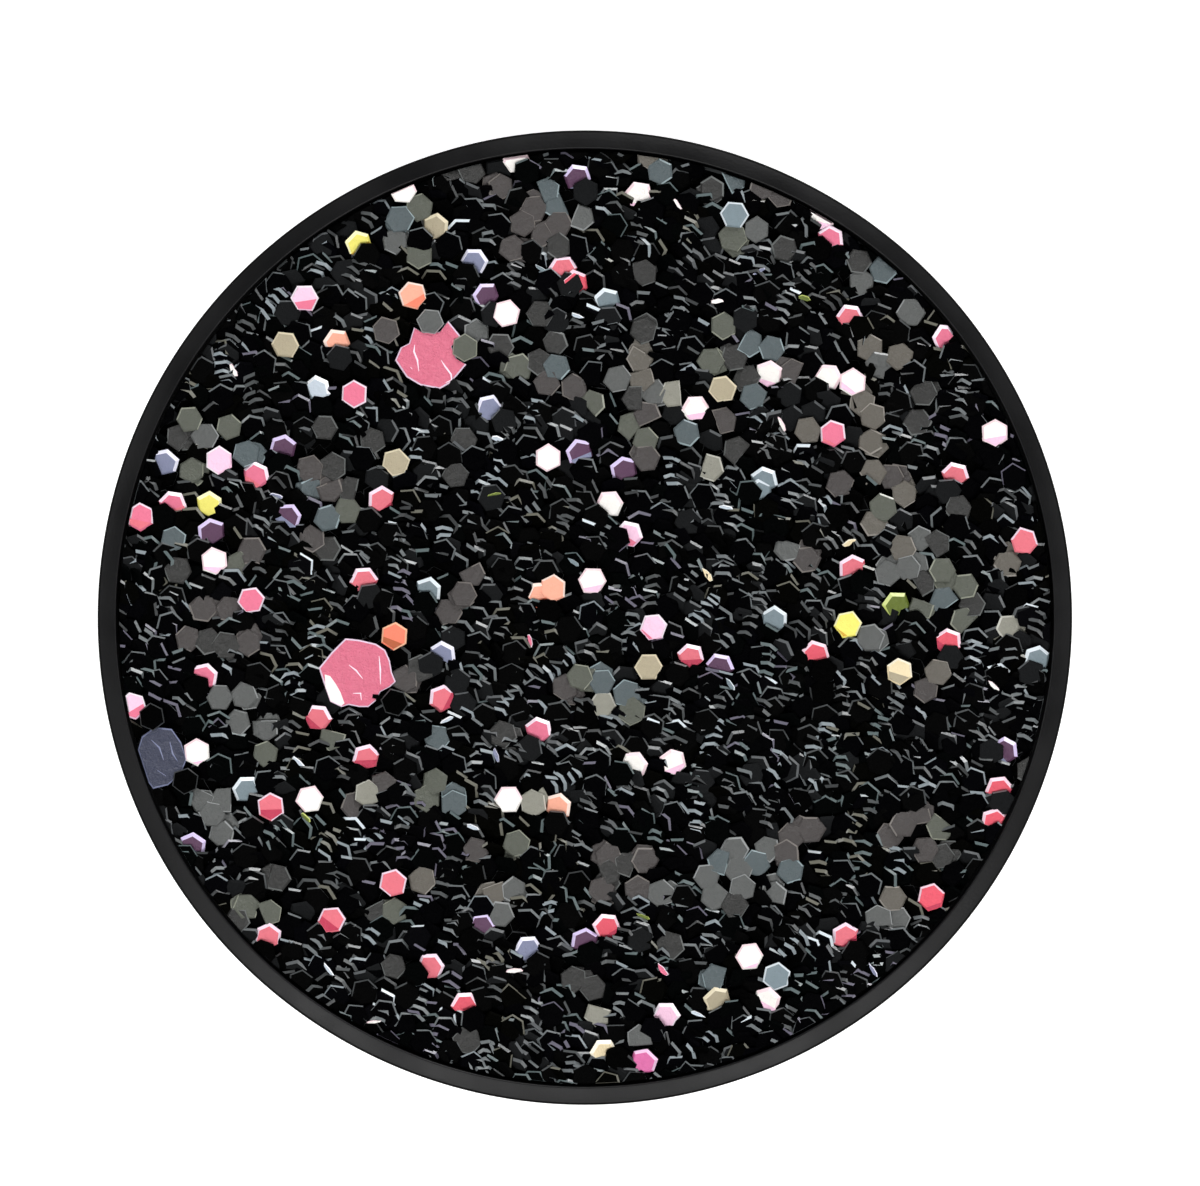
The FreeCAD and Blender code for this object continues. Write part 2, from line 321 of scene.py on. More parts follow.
def add_bump(tree, shader, height, depth, strength=1.0):
    """Relief of `depth` millimetres from a height between 0 and 1."""
    node = tree.nodes.new("ShaderNodeBump")
    node.inputs["Distance"].default_value = depth * MM
    node.inputs["Strength"].default_value = strength
    tree.links.new(height, node.inputs["Height"])
    tree.links.new(node.outputs["Normal"], shader.inputs["Normal"])


SCUFF_COLOUR = "6a6a6a"
POLISH_SPREAD = 0.08  # how far roughness drifts each way between polished and dull patches


def moulded(name, dark, light, roughness, grain, depth, specular=0.5, scuffs=0.0):
    """Moulded plastic or rubber, mottled between two tones, with patchy polish and fine scuffs.

    `grain` and `depth` are the size and height of its spark-eroded texture.
    """
    material, tree, shader = new_material(name)
    broad = add_noise(tree, size=3.5, detail=4.0)
    fine = add_noise(tree, grain, detail=2.0)
    scuffed = remap(tree, add_noise(tree, size=0.7, detail=6.0, rough=0.75), 0.62, 0.8, 0, scuffs)
    mottled = mix_colours(tree, remap(tree, broad, 0.35, 0.65, 0, 1), linear(dark), linear(light))
    tree.links.new(mix_colours(tree, scuffed, mottled, linear(SCUFF_COLOUR)), shader.inputs["Base Color"])
    polish = remap(tree, broad, 0.3, 0.7, roughness - POLISH_SPREAD, roughness + POLISH_SPREAD)
    tree.links.new(polish, shader.inputs["Roughness"])
    add_bump(tree, shader, fine, depth)
    shader.inputs["Specular IOR Level"].default_value = specular
    return material


def flake_face(name, colour, specular, roughness, crumple, depth):
    """A flake's flat face: foil in one tone, with crumples of the given size and depth."""
    material, tree, shader = new_material(name)
    shader.inputs["Base Color"].default_value = linear(colour)
    shader.inputs["Roughness"].default_value = roughness
    shader.inputs["Specular IOR Level"].default_value = specular
    add_bump(tree, shader, add_noise(tree, crumple, detail=4.0, rough=0.65), depth)
    return material


def flake_edge_highlight(name, colour):
    """A flake's cut edge, painted paler than its face: a painted highlight of light glinting along the edge.
    """
    material, tree, shader = new_material(name)
    shader.inputs["Base Color"].default_value = linear(colour)
    shader.inputs["Roughness"].default_value = 0.3
    shader.inputs["Specular IOR Level"].default_value = 0.5
    add_bump(tree, shader, add_noise(tree, size=0.08, detail=2.0), depth=0.006)
    return material


# --- Mesh building ---


def new_piece(name, vertices, faces, materials, slots=None, smooth_angle=None):
    """A mesh object from points in millimetres. Edges sharper than `smooth_angle` stay sharp."""
    mesh = bpy.data.meshes.new(name)
    mesh.from_pydata([tuple(c * MM for c in v) for v in vertices], [], faces)
    for material in materials:
        mesh.materials.append(material)
    if slots is not None:
        mesh.polygons.foreach_set("material_index", slots)
    if smooth_angle is not None:
        mesh.polygons.foreach_set("use_smooth", [True] * len(mesh.polygons))
        mesh.set_sharp_from_angle(angle=math.radians(smooth_angle))
    mesh.update()
    piece = bpy.data.objects.new(name, mesh)
    bpy.context.scene.collection.objects.link(piece)
    return piece


def rounded(outline, steps=6):
    """(r, z) points from (r, z) or (r, z, edge radius) ones, each radius drawn as an arc."""
    points = []
    for i, corner in enumerate(outline):
        if len(corner) == 2:
            points.append(tuple(corner))
            continue
        here = Vector(corner[:2])
        to_before = (Vector(outline[i - 1][:2]) - here).normalized()
        to_after = (Vector(outline[(i + 1) % len(outline)][:2]) - here).normalized()
        half = to_before.angle(to_after) / 2
        centre = here + (to_before + to_after).normalized() * (corner[2] / math.sin(half))
        start = here + to_before * (corner[2] / math.tan(half)) - centre
        turn = start.angle_signed(here + to_after * (corner[2] / math.tan(half)) - centre)
        for step in range(steps + 1):
            angle = -turn * step / steps
            x = start.x * math.cos(angle) - start.y * math.sin(angle)
            y = start.x * math.sin(angle) + start.y * math.cos(angle)
            points.append((centre.x + x, centre.y + y))
    return points


def lathe(outline, segments=256):
    """Vertices and faces of a solid of revolution about Z. Points at r = 0 become a single pole."""
    vertices = []
    rings = []
    for r, z in outline:
        if r < 1e-6:
            rings.append([len(vertices)] * segments)
            vertices.append((0, 0, z))
            continue
        rings.append(list(range(len(vertices), len(vertices) + segments)))
        for k in range(segments):
            angle = 2 * math.pi * k / segments
            vertices.append((r * math.cos(angle), r * math.sin(angle), z))
    faces = []
    for i in range(len(rings)):
        a, b = rings[i], rings[(i + 1) % len(rings)]
        if a[0] == a[1] and b[0] == b[1]:
            continue
        for k in range(segments):
            n = (k + 1) % segments
            corners = [a[k], a[n], b[n], b[k]]
            faces.append(list(dict.fromkeys(corners)))
    return vertices, faces


def block(corner, opposite, turn=0.0):
    """Vertices and faces of an upright bar, turned about Z."""
    (x0, y0, z0), (x1, y1, z1) = corner, opposite
    c, s = math.cos(math.radians(turn)), math.sin(math.radians(turn))
    vertices = []
    for z in (z0, z1):
        for x, y in ((x0, y0), (x1, y0), (x1, y1), (x0, y1)):
            vertices.append((x * c - y * s, x * s + y * c, z))
    faces = [(3, 2, 1, 0), (4, 5, 6, 7), (0, 1, 5, 4), (1, 2, 6, 5), (2, 3, 7, 6), (3, 0, 4, 7)]
    return vertices, faces


def joined(shells):
    """One vertex and face list from several."""
    vertices = []
    faces = []
    for shell_vertices, shell_faces in shells:
        start = len(vertices)
        vertices.extend(shell_vertices)
        faces.extend([[start + i for i in face] for face in shell_faces])
    return vertices, faces


# --- The moulded pieces ---


def make_top_platform():
    """The black top: a rim round the recess, a rounded skirt, and ribs and a bayonet hub below."""
    web_low = TOP_Z - 1.6
    skirt_low = TOP_Z - 3.17
    skirt_in_r = 18.65
    ring_rib = (16.2, 17.0)  # inner and outer radius of the rib that runs round inside the skirt
    recess_r = INSERT_R + 0.11
    edge_band = 0.13  # rounding of the outer edge
    sunk = 0.1  # ribs and hub run this far into what they stand on
    outline = rounded([
        (0, web_low),
        (ring_rib[0], web_low, 0.2), (ring_rib[0], web_low - 1.4, 0.15),
        (ring_rib[1], web_low - 1.4, 0.15), (ring_rib[1], web_low, 0.2),
        (skirt_in_r, web_low, 0.2), (skirt_in_r, skirt_low, 0.2), (GRIP_R, skirt_low, 0.5),
        (GRIP_R, TOP_Z - 0.42), (GRIP_R, TOP_Z - 0.24, edge_band), (recess_r, TOP_Z + 0.02, 0.06),
        (recess_r, RECESS_FLOOR_Z),
        (0, RECESS_FLOOR_Z),
    ])
    shells = [lathe(outline, segments=384)]
    rib_count = 24
    rib_in, rib_out = ring_rib[1] - sunk, skirt_in_r + sunk
    for k in range(rib_count):
        rib = block((rib_in, -0.35, web_low - 1.1), (rib_out, 0.35, web_low + sunk), k * 360 / rib_count)
        shells.append(rib)
    hub_r, hub_low = 3.7, web_low - 2.5
    hub = [(0, hub_low), (hub_r, hub_low, 0.25), (hub_r, web_low + sunk), (0, web_low + sunk)]
    shells.append(lathe(rounded(hub), segments=96))
    lug_reach, half_lug = 5.38, 1.3
    for turn in (0, 180):
        shells.append(block((-half_lug, 3.0, web_low - 2.4), (half_lug, lug_reach, web_low - 1.1), turn))
    vertices, faces = joined(shells)
    plain = moulded("top_black_plastic", "0e0e0f", "121213", roughness=0.42, grain=0.12, depth=0.006,
                    specular=0.19, scuffs=0.03)
    # The rounded outer edge is darker and duller than the top: painted shade where the edge turns away from
    # the light.
    edge = moulded("top_edge_painted_shade", "080808", "0b0b0b", roughness=0.7, grain=0.09, depth=0.004,
                   specular=0.05)
    slots = []
    for face in faces:
        r = min(math.hypot(vertices[i][0], vertices[i][1]) for i in face)
        z = min(vertices[i][2] for i in face)
        on_edge = r > GRIP_R - edge_band - 0.001 and z > TOP_Z - 0.45
        slots.append(1 if on_edge else 0)
    piece = new_piece("top_shell", vertices, faces, [plain, edge], slots, smooth_angle=35)
    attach(piece, "top")
    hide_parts("top_platform")


def make_base():
    """The base dish with its softly rounded edge and a shallow moulded step inside the rim."""
    bottom, top = low("base_plate"), high("base_plate")
    radius = reach("base_plate")
    groove_in, groove_out, groove_z, groove_slope = 15.8, 17.9, top - 0.12, 0.1
    bore_r, ledge_z = 15.0, 2.2
    pocket_r, floor_z = 14.5, 1.4
    outline = rounded([
        (0, bottom), (radius, bottom, 0.35), (radius, top, 0.6),
        (groove_out, top, 0.1), (groove_out - groove_slope, groove_z, 0.1),
        (groove_in + groove_slope, groove_z, 0.1), (groove_in, top, 0.1),
        (bore_r, top, 0.08), (bore_r, ledge_z), (pocket_r, ledge_z), (pocket_r, floor_z), (0, floor_z),
    ])
    material = moulded("base_black_plastic", "19191a", "222223", roughness=0.4, grain=0.15, depth=0.012,
                       specular=0.4, scuffs=0.12)
    vertices, faces = lathe(outline, segments=320)
    piece = new_piece("base_dish", vertices, faces, [material], smooth_angle=35)
    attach(piece, "base")
    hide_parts("base_plate")


def make_pad():
    """The adhesive pad: foam cut with a faintly uneven side, between two skins."""
    radius, top = reach("adhesive_pad"), high("adhesive_pad")
    outline = rounded([(0, 0), (radius, 0, 0.08), (radius - 0.06, 0.22), (radius - 0.03, 0.45),
                       (radius - 0.08, 0.7), (radius, top, 0.08), (0, top)])
    vertices, faces = lathe(outline, segments=320)
    skin = 0.05
    roughest = 0.05
    uneven = []
    for x, y, z in vertices:
        r = math.hypot(x, y)
        if r > radius - 1 and skin < z < top - skin:
            pull = roughest * (0.5 + noise.noise(Vector((x * 1.5, y * 1.5, z * 4))))
            x, y = x * (1 - pull / r), y * (1 - pull / r)
        uneven.append((x, y, z))
    material = moulded("adhesive_foam", "2a2a2c", "3a3a3c", roughness=0.75, grain=0.22, depth=0.04,
                       specular=0.3)
    piece = new_piece("adhesive_pad_foam", uneven, faces, [material], smooth_angle=35)
    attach(piece, "base")
    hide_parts("adhesive_pad")


BELLOWS_RUBBER = moulded("bellows_black_rubber", "161617", "202021", roughness=0.56, grain=0.2, depth=0.016,
                         specular=0.35, scuffs=0.1)


def make_wall(name, node, body, low_r, high_r, foot=None, flange=None):
    """A stiff bellows wall with thick rounded lips, fused to its foot or its head flange if it has one.

    `foot` is the foot's outer radius and `flange` is the flange's inner one.
    """
    bottom, top = low(node), high(node)
    thickness, segments = 1.0, 224
    outline = [(low_r - thickness, bottom, 0.3), (low_r, bottom, 0.3),
               (high_r, top, 0.42), (high_r - thickness, top, 0.42)]
    shells = [lathe(rounded(outline), segments)]
    if foot:
        inside, foot_top = low_r - 0.6, bottom + 0.7
        shells.append(lathe(rounded([(inside, bottom), (foot, bottom, 0.15), (foot, foot_top, 0.15),
                                     (inside, foot_top)]), segments))
    if flange:
        inside, flange_low, flange_top = 8.7, top - 1.2, top - 0.5
        shells.append(lathe(rounded([(flange, flange_low, 0.1), (inside, flange_low), (inside, flange_top),
                                     (flange, flange_top, 0.1)]), segments))
    vertices, faces = joined(shells)
    piece = new_piece(name, vertices, faces, [BELLOWS_RUBBER], smooth_angle=40)
    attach(piece, body)
    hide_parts(node)


def make_web(name, node, foot_r, head_r):
    """A flexible web, thin and slightly S-curved, with its two ends buried in the walls it joins."""
    foot_z, head_z = low(node), high(node)
    buried = 0.7
    rows = 36
    outer = []
    inner = []
    for i in range(rows + 1):
        z = foot_z - buried + (head_z - foot_z + 2 * buried) * i / rows
        t = min(max((z - foot_z) / (head_z - foot_z), 0), 1)
        curve = t * t * (3 - 2 * t)
        r = foot_r + (head_r - foot_r) * (0.45 * t + 0.55 * curve)
        half = 0.2 + 0.1 * abs(2 * t - 1) ** 3
        outer.append((r + half, z))
        inner.append((r - half, z))
    vertices, faces = lathe(outer + inner[::-1], segments=192)
    piece = new_piece(name, vertices, faces, [BELLOWS_RUBBER], smooth_angle=50)
    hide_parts(node)
    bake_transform(piece)


def finish_cad_nodes():
    """Materials for the CAD nodes that stay: those that the outer pieces mostly hide."""
    finishes = {
        "retaining_ring": moulded("ring_black_plastic", "19191a", "212122", roughness=0.38, grain=0.15,
                                  depth=0.01, specular=0.4, scuffs=0.1),
        "lock_socket": moulded("socket_black_plastic", "1c1c1d", "242425", roughness=0.4, grain=0.15,
                               depth=0.01, specular=0.4, scuffs=0.1),
        "insert_bond_film": moulded("bond_film_clear", "8f8f8c", "a2a29e", roughness=0.3, grain=0.3,
                                    depth=0.004),
        "glitter_backing": moulded("backing_black_sheet", "060606", "0b0b0c", roughness=0.5, grain=0.1,
                                   depth=0.004, specular=0.3),
    }
    for name, material in finishes.items():
        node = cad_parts[name]
        node.data.materials.clear()
        node.data.materials.append(material)


# --- The glitter ---


def make_resin_bed():
    """The dark resin under the flakes: a lumpy disc that fills the gaps between them."""
    rings = 60
    segments = 180
    depth = 0.07
    lumpiness = 0.06
    vertices = [(0, 0, BED_Z + depth)]
    for i in range(1, rings + 1):
        r = CUT_R * i / rings
        for k in range(segments):
            angle = 2 * math.pi * k / segments
            x, y = r * math.cos(angle), r * math.sin(angle)
            lump = noise.noise(Vector((x * 1.6, y * 1.6, 3.0)))
            vertices.append((x, y, BED_Z + depth + lumpiness * lump))
    last = len(vertices) - segments
    under = len(vertices)
    vertices += [(vertices[last + k][0], vertices[last + k][1], BED_Z) for k in range(segments)]
    faces = [(0, 1 + k, 1 + (k + 1) % segments) for k in range(segments)]
    for i in range(rings):
        first = 1 + i * segments
        second = first + segments
        for k in range(segments):
            n = (k + 1) % segments
            faces.append((first + k, second + k, second + n, first + n))
    faces.append([under + k for k in reversed(range(segments))])
    material = moulded("resin_black", "030303", "070708", roughness=0.35, grain=0.12, depth=0.01,
                       specular=0.05)
    piece = new_piece("glitter_resin", vertices, faces, [material], smooth_angle=40)
    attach(piece, "top")
    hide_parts("glitter_layer")


class FlakePile:
    """Flakes collected as bevelled plates, then made into one piece with a face and an edge slot per tone."""

    def __init__(self, name, tones):
        self.name = name
        self.tones = tones
        self.vertices = []
        self.faces = []
        self.slots = []

    def add_plate(self, tone, outline, centre, lift, tilt, thickness, bevel, highlit_sides=None):
        """A plate whose outline is in its own plane, raised by `tilt` on the side that `lift` points to.

        The last argument picks the sides that take the pale edge colour, a painted highlight, or None for all
        of them.
        """
        a, t = math.radians(lift), math.radians(tilt)
        up_slope = Vector((math.cos(a) * math.cos(t), math.sin(a) * math.cos(t), math.sin(t)))
        across = Vector((-math.sin(a), math.cos(a), 0))
        normal = up_slope.cross(across)
        middle = Vector(centre)
        outline = cut_to_disc(outline, middle, up_slope, across)
        if len(outline) < 3:
            return
        size = len(outline)
        mid_u = sum(p[0] for p in outline) / size
        mid_v = sum(p[1] for p in outline) / size
        breadth = sum(math.hypot(p[0] - mid_u, p[1] - mid_v) for p in outline) / size
        shrink = max(1 - bevel / max(breadth, 0.05), 0.3)
        start = len(self.vertices)
        for u, v in outline:
            self.vertices.append(middle + up_slope * u + across * v - normal * (thickness / 2))
        for u, v in outline:
            u, v = mid_u + (u - mid_u) * shrink, mid_v + (v - mid_v) * shrink
            self.vertices.append(middle + up_slope * u + across * v + normal * (thickness / 2))
        face_slot = 2 * self.tones.index(tone)
        self.faces.append([start + size + i for i in range(size)])
        self.slots.append(face_slot)
        self.faces.append([start + size - 1 - i for i in range(size)])
        self.slots.append(face_slot)
        for i in range(size):
            n = (i + 1) % size
            self.faces.append([start + i, start + n, start + size + n, start + size + i])
            # Sides that are picked take the edge material, whose pale colour is a painted highlight.
            raised = (outline[i][0] + outline[n][0]) / 2 / breadth
            pale = highlit_sides is None or highlit_sides(raised)
            self.slots.append(face_slot + 1 if pale else face_slot)

    def add_ridge(self, tone, points, z, width, height):
        """A crease: a low ridge of triangular section along a line of points, in the tone's pale edge colour,
        a painted highlight.
        """
        start = len(self.vertices)
        for i, point in enumerate(points):
            before, after = Vector(points[max(i - 1, 0)]), Vector(points[min(i + 1, len(points) - 1)])
            along = (after - before).normalized()
            side = Vector((-along.y, along.x)) * (width / 2)
            thin = 0.3 if i in (0, len(points) - 1) else 1.0
            for offset, rise in ((side * thin, 0), (Vector((0, 0)), height * thin), (-side * thin, 0)):
                self.vertices.append(Vector((point[0] + offset.x, point[1] + offset.y, z + rise)))
        edge_slot = 2 * self.tones.index(tone) + 1
        for i in range(len(points) - 1):
            a, b = start + 3 * i, start + 3 * i + 3
            self.faces += [[a + 1, a, b, b + 1], [a + 2, a + 1, b + 1, b + 2], [a, a + 2, b + 2, b]]
            self.slots += [edge_slot] * 3
        end = start + 3 * (len(points) - 1)
        self.faces += [[start, start + 1, start + 2], [end + 2, end + 1, end]]
        self.slots += [edge_slot] * 2

    def make(self):
        """The finished piece, with two materials for each tone."""
        finishes = dict.fromkeys(FOILS, FOIL_FINISH) | dict.fromkeys(REFLECTION_GREYS, REFLECTION_GREY_FINISH)
        finishes |= dict.fromkeys(DARKS, DARK_FINISH)
        materials = []
        for tone in self.tones:
            face, edge = FLAKE_TONES[tone]
            materials.append(flake_face("flake_" + tone, face, **finishes.get(tone, BRIGHT_FINISH)))
            materials.append(flake_edge_highlight("flake_edge_highlight_" + tone, edge))
        piece = new_piece(self.name, self.vertices, self.faces, materials, self.slots)
        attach(piece, "top")
        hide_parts("glitter_layer")


def clipped(outline, room):
    """The part of an outline where room(u, v), a linear measure, isn't negative."""
    kept = []
    for i, (u, v) in enumerate(outline):
        next_u, next_v = outline[(i + 1) % len(outline)]
        here, there = room(u, v), room(next_u, next_v)
        if here >= 0:
            kept.append((u, v))
        if (here >= 0) != (there >= 0):
            share = here / (here - there)
            kept.append((u + (next_u - u) * share, v + (next_v - v) * share))
    return kept


def cut_to_disc(outline, middle, up_slope, across):
    """The part of a plate's outline inside the insert's cut edge."""
    r = math.hypot(middle.x, middle.y)
    if r + 2 * FLAKE_ACROSS < CUT_R:
        return outline
    radial = Vector((middle.x / r, middle.y / r, 0))
    return clipped(outline, lambda u, v: CUT_R - r - u * radial.dot(up_slope) - v * radial.dot(across))


def hexagon(rng, size=1.0, chipped=False):
    """A flake's outline: a hexagon with slightly uneven corners, or one with a corner broken off."""
    spin = rng.uniform(0, 60)
    points = []
    for k in range(6):
        angle = math.radians(spin + 60 * k + rng.uniform(-3, 3))
        r = FLAKE_CORNER_R * size * rng.uniform(0.95, 1.04)
        points.append((r * math.cos(angle), r * math.sin(angle)))
    if chipped:
        first = rng.randrange(6)
        a, b = points[first], points[(first + 2) % 6]
        share = rng.uniform(0.3, 0.7)
        points[(first + 1) % 6] = tuple(1.03 * (p * share + q * (1 - share)) for p, q in zip(a, b))
    return points


def scattered(rng, radius, spacing, tries):
    """Random points in a disc, no two nearer than the spacing."""
    cell = spacing / math.sqrt(2)
    grid = {}
    points = []
    for _ in range(tries):
        r, angle = radius * math.sqrt(rng.random()), rng.uniform(0, 2 * math.pi)
        x, y = r * math.cos(angle), r * math.sin(angle)
        i, j = math.floor(x / cell), math.floor(y / cell)
        near = (grid.get((i + di, j + dj)) for di in (-2, -1, 0, 1, 2) for dj in (-2, -1, 0, 1, 2))
        if any(p and (p[0] - x) ** 2 + (p[1] - y) ** 2 < spacing ** 2 for p in near):
            continue
        grid[i, j] = (x, y)
        points.append((x, y))
    return points


def field(x, y, size, layer):
    """Smooth noise between about -1 and 1 over the disc."""
    return noise.noise(Vector((x / size, y / size, layer * 10.0))) * 1.6


def patch_at(x, y):
    """How deep a point lies in a grey patch of painted reflection, from 0 at its edge, and that patch's tone.
    """
    best, tone = 0.0, None
    for px, py, radius, patch_tone in REFLECTION_PATCHES:
        depth = 1 - math.hypot(x - px, y - py) / (radius * (1 + 0.35 * field(x, y, 1.2, 7)))
        if depth > best:
            best, tone = depth, patch_tone
    return best, tone


def near_any(x, y, places, distance):
    return any(math.hypot(x - px, y - py) < distance for px, py in places)


def crowded(x, y, small, large, small_gap, large_gap):
    """Whether a place is too near the middle of a small flake or of a large one."""
    return near_any(x, y, small, small_gap) or near_any(x, y, large, large_gap)


def pick(rng, shares):
    """One of the names in a table, at random, each with the share given there."""
    return rng.choices(list(shares), shares.values())[0]


def dark_tone(rng, x, y):
    """A black flake's tone. The tint of its pale edge, a painted highlight, drifts across the bed."""
    tint = field(x, y, 4.5, 9)
    if rng.random() < abs(tint):
        return rng.choice(["night", "petrol"] if tint > 0 else ["moss", "petrol"])
    shares = {"soot": 0.2, "coal": 0.2, "ash": 0.18, "jet": 0.28, "ink": 0.11, "frost": 0.03}
    return pick(rng, shares)


def reflection_grey_tone(rng, tone):
    """Often the patch's own tone, with the other greys mixed in."""
    if rng.random() < 0.42:
        return tone
    return pick(rng, {
        "graphite": 0.26, "umber": 0.18, "warm_grey": 0.12, "neutral_grey": 0.14, "olive_grey": 0.14,
        "slate": 0.12, "pale_grey": 0.04,
    })


def some_sides(rng, least, chance):
    """A test for add_plate that picks the sides raised above `least`, each with the given chance, to take the
    painted highlight of the pale edge.
    """
    return lambda raised: raised > least and rng.random() < chance


def seat(z_share, tilt):
    """The height of a plate's middle, at a share of the room that its tilt leaves it in the bed."""
    rise = FLAKE_CORNER_R * math.sin(math.radians(tilt)) * 0.9 + 0.04
    lowest, highest = BED_Z + 0.02 + rise, FLAKE_TOP_Z - rise
    if highest <= lowest:
        return (BED_Z + FLAKE_TOP_Z) / 2
    return lowest + (highest - lowest) * z_share


def lay_scales(rng, dark, flats, covers):
    """The bulk of the bed: flakes that lean on each other like roof tiles, in slowly drifting directions."""
    for x, y in scattered(rng, CUT_R + 0.35, spacing=0.5, tries=60000):
        lift = STREAK_LIFT + 48 * field(x, y, 3.2, 1) + rng.gauss(0, 12)
        outline = hexagon(rng, rng.uniform(0.95, 1.06), rng.random() < 0.12)
        thickness = rng.uniform(0.07, 0.12)
        if crowded(x, y, flats, covers, small_gap=0.62, large_gap=1.5):
            tilt = rng.uniform(0, 6)
            dark.add_plate("soot", outline, (x, y, seat(0.05, tilt)), lift, tilt, thickness, bevel=0.06)
        else:
            tilt = min(max(rng.gauss(26, 9), 5), 45)
            # Some raised sides take the pale edge: a painted highlight.
            sides = some_sides(rng, rng.uniform(0, 0.8), rng.choice([0.3, 0.6, 0.9]))
            tone = dark_tone(rng, x, y)
            centre = (x, y, seat(rng.uniform(0.2, 0.75), tilt))
            dark.add_plate(tone, outline, centre, lift, tilt, thickness, rng.uniform(0.06, 0.1), sides)


def lay_streaks(rng, dark, flats, covers):
    """Groups of flakes that stand steeply, one behind the other, and show only their edges, whose pale colour
    on the raised side is a painted highlight.
    """
    for x, y in scattered(rng, CUT_R - 0.4, spacing=1.4, tries=8000):
        lift = STREAK_LIFT + 32 * field(x, y, 4.0, 3) + rng.gauss(0, 8)
        a = math.radians(lift)
        tone = rng.choices(["ash", "jet", "ink", dark_tone(rng, x, y)], [0.3, 0.25, 0.15, 0.3])[0]
        tilt = rng.uniform(40, 54)
        slip = rng.uniform(-0.12, 0.12)
        count = rng.randint(2, 5)
        for i in range(count):
            step = (i - (count - 1) / 2) * rng.uniform(0.32, 0.4)
            px = x + step * math.cos(a) - slip * i * math.sin(a)
            py = y + step * math.sin(a) + slip * i * math.cos(a)
            if crowded(px, py, flats, covers, small_gap=0.8, large_gap=1.8):
                continue
            outline = [(u * 0.5, v * rng.uniform(0.6, 0.95)) for u, v in hexagon(rng)]
            dark.add_plate(tone, outline, (px, py, FLAKE_TOP_Z - 0.25), lift + rng.gauss(0, 7), tilt,
                           thickness=0.14, bevel=0.07, highlit_sides=some_sides(rng, 0.25, 0.85))


def place_reflecting_flats(rng, bright_places, covers):
    """Where the flakes that show grey, a painted reflection, lie: crowded in the patches and rare elsewhere.
    """
    places = []
    for x, y in scattered(rng, CUT_R + 0.2, spacing=0.7, tries=20000):
        depth, tone = patch_at(x, y)
        if crowded(x, y, bright_places, covers, small_gap=0.9, large_gap=1.85):
            continue
        if rng.random() < min(2.2 * depth, 0.75) or rng.random() < 0.045:
            places.append((x, y, reflection_grey_tone(rng, tone or "graphite")))
    return places


def lay_reflecting_flats(rng, grey, places):
    """Flakes lying flat on top, with grey faces that are a painted reflection of the light off them, now and
    then with a twin showing from under them.
    """
    for x, y, tone in places:
        lift = rng.uniform(0, 360)
        tilt = abs(rng.gauss(0, 6))
        z = seat(rng.uniform(0.8, 1.0), tilt)
        sides = some_sides(rng, -0.4, 0.6)
        outline = hexagon(rng, rng.uniform(0.96, 1.06), rng.random() < 0.2)
        thickness, bevel = rng.uniform(0.05, 0.09), rng.uniform(0.04, 0.08)
        grey.add_plate(tone, outline, (x, y, z), lift, tilt, thickness, bevel, sides)
        if rng.random() < 0.35:
            a = rng.uniform(0, 2 * math.pi)
            slip = rng.uniform(0.15, 0.4)
            under = (x + slip * math.cos(a), y + slip * math.sin(a), z - 0.1)
            grey.add_plate(tone, hexagon(rng), under, lift, tilt, thickness=0.06, bevel=0.05,
                           highlit_sides=sides)


def lay_dark_flats(rng, dark, flats, covers):
    """Black flakes that ended up nearly flat on top, with a painted highlight, a pale line, along their
    raised side.
    """
    for x, y in scattered(rng, CUT_R + 0.2, spacing=0.95, tries=12000):
        if crowded(x, y, flats, covers, small_gap=0.7, large_gap=1.9):
            continue
        tilt = rng.uniform(2, 14)
        centre = (x, y, seat(rng.uniform(0.8, 1.0), tilt))
        sides = some_sides(rng, rng.uniform(-0.1, 0.6), 0.8)
        tone = rng.choices(["ash", "jet", dark_tone(rng, x, y)], [0.3, 0.3, 0.4])[0]
        outline = hexagon(rng, rng.uniform(0.95, 1.05), rng.random() < 0.1)
        lift = STREAK_LIFT + rng.uniform(-30, 50)
        dark.add_plate(tone, outline, centre, lift, tilt, thickness=0.08, bevel=rng.uniform(0.05, 0.08),
                       highlit_sides=sides)


def add_with_painted_shade(rng, pile, tone, centre, lift, tilt, thickness, bevel, sides):
    """A bright flake, often with a second tone painted along its lower side, turned from the light: painted
    shade.
    """
    outline = hexagon(rng, 1.02)
    pile.add_plate(tone, outline, centre, lift, tilt, thickness, bevel, sides)
    if tone not in SHADE_TONES or rng.random() < 0.4:
        return
    limit, slant = rng.uniform(-0.38, -0.08), rng.uniform(-0.4, 0.4)
    inside_bevel = 0.86
    face = [(u * inside_bevel, v * inside_bevel) for u, v in outline]
    lower = clipped(face, lambda u, v: limit + slant * v - u)
    if len(lower) > 2:
        a, t = math.radians(lift), math.radians(tilt)
        rise = thickness / 2 + 0.003
        x, y, z = centre
        above = (x - rise * math.sin(t) * math.cos(a), y - rise * math.sin(t) * math.sin(a),
                 z + rise * math.cos(t))
        pile.add_plate(SHADE_TONES[tone], lower, above, lift, tilt, thickness=0.012, bevel=0.005,
                       highlit_sides=lambda raised: False)


